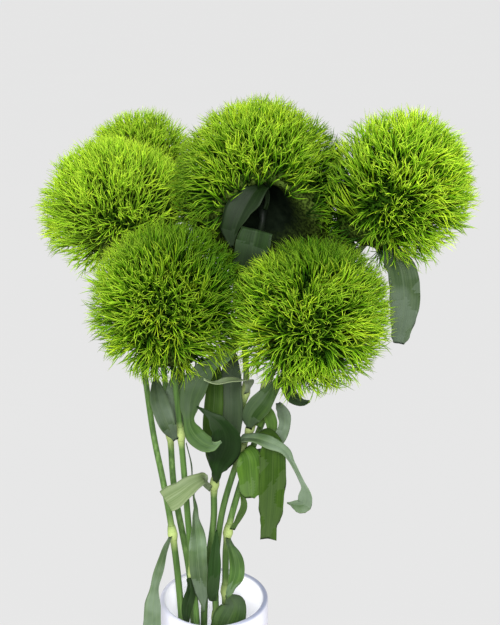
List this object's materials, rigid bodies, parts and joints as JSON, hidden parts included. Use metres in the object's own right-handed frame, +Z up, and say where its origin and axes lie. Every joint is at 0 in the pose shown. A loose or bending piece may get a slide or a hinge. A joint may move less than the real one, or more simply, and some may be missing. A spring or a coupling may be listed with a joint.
{
  "type": "sweet william bunch",
  "caption": "Cut green sweet william with fringed ball heads and narrow leaves on jointed stems, standing in water in a plain white vase.",
  "frame": {"origin": "centre of the vase's foot, on the surface that it stands on", "axes": "+Z up along the vase's axis, -Y towards the front of the bunch, +X to its right"},
  "size_m": [0.2233, 0.208, 0.4205],
  "materials": {
    "bract": "matte",
    "stem": "satin",
    "leaf": "matte",
    "vase": "gloss",
    "water": "gloss"
  },
  "bodies": {
    "root": {"vase": "vase", "water": "water", "back_stem": "stem", "centre_stem": "stem", "frontLeft_stem": "stem", "frontRight_stem": "stem", "left_stem": "stem", "right_stem": "stem", "back_head": "bract", "centre_head": "bract", "frontLeft_head": "bract", "frontRight_head": "bract", "left_head": "bract", "right_head": "bract", "back_leaf_1": "leaf", "centre_leaf_1": "leaf", "centre_leaf_2": "leaf", "centre_leaf_3": "leaf", "centre_leaf_4": "leaf", "centre_leaf_5": "leaf", "centre_leaf_6": "leaf", "centre_leaf_7": "leaf", "centre_leaf_8": "leaf", "frontLeft_leaf_1": "leaf", "frontLeft_leaf_2": "leaf", "frontLeft_leaf_3": "leaf", "frontLeft_leaf_4": "leaf", "frontRight_leaf_1": "leaf", "frontRight_leaf_2": "leaf", "frontRight_leaf_3": "leaf", "frontRight_leaf_4": "leaf", "frontRight_leaf_5": "leaf", "frontRight_leaf_6": "leaf", "frontRight_leaf_7": "leaf", "left_leaf_1": "leaf", "right_leaf_1": "leaf", "right_leaf_2": "leaf", "right_leaf_3": "leaf", "right_leaf_4": "leaf", "right_leaf_5": "leaf"}
  },
  "joints": []
}
